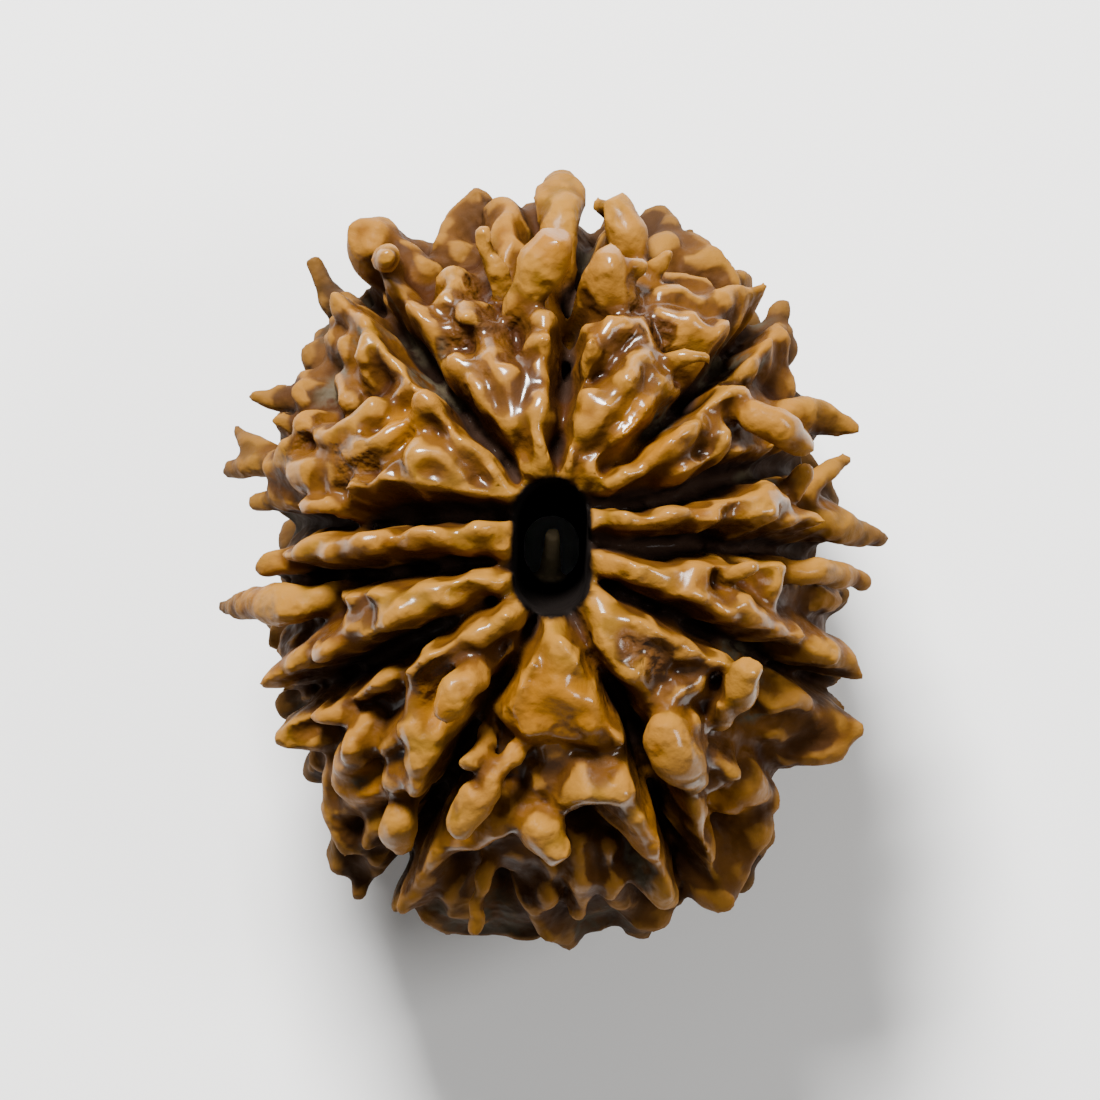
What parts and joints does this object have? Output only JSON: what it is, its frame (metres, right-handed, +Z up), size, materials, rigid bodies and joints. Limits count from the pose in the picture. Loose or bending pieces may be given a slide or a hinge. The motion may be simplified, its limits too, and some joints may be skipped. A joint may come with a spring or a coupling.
{
  "type": "eleven mukhi rudraksha",
  "caption": "Oiled rudraksha bead, a ridged and clefted Elaeocarpus seed stone with a slot-mouthed thread hole through its middle.",
  "frame": {"origin": "bottom centre of the bead's box, level with the worn crests it rests on", "axes": "+Z up along the thread hole, +Y along the bead's longest width, +X across it"},
  "size_m": [0.0233, 0.0272, 0.0199],
  "materials": {
    "stone_shell": "semi-gloss, oiled"
  },
  "bodies": {
    "root": {"rudraksha_bead": "stone_shell"}
  },
  "joints": []
}
